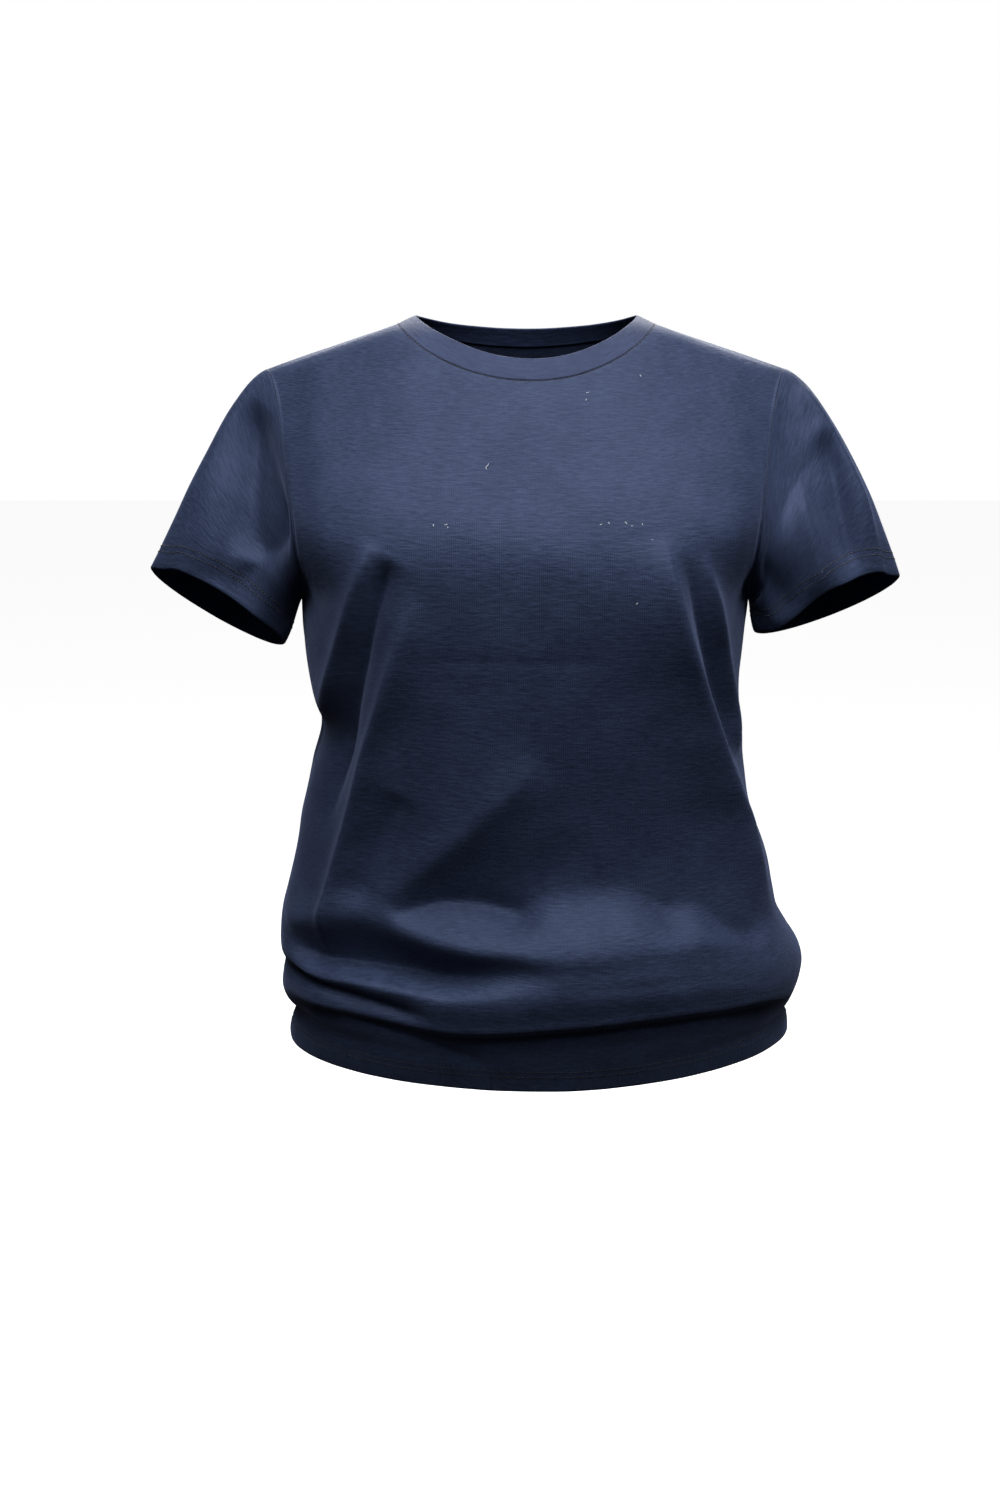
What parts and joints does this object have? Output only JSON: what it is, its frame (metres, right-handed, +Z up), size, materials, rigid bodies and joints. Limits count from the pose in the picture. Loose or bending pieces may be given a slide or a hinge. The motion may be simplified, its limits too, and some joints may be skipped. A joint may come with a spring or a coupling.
{
  "type": "crew neck t-shirt",
  "caption": "Short-sleeved crew neck t-shirt in navy cotton jersey with a rib neckband, in its hollow worn form with a soft roll over the hem",
  "frame": {"origin": "midway between the two points where the neckband crosses the shoulders, at their height: the place where a worn shirt is held", "axes": "+X points to the wearer's left, +Y to the wearer's back, so the front faces -Y, and +Z is up"},
  "size_m": [0.5828, 0.2453, 0.5867],
  "materials": {
    "jersey": "matte single jersey, faint streaks along the courses",
    "rib": "matte fine rib"
  },
  "bodies": {
    "root": {"front": "jersey", "back": "jersey", "sleeve_right": "jersey", "sleeve_left": "jersey", "neckband": "rib"}
  },
  "joints": []
}
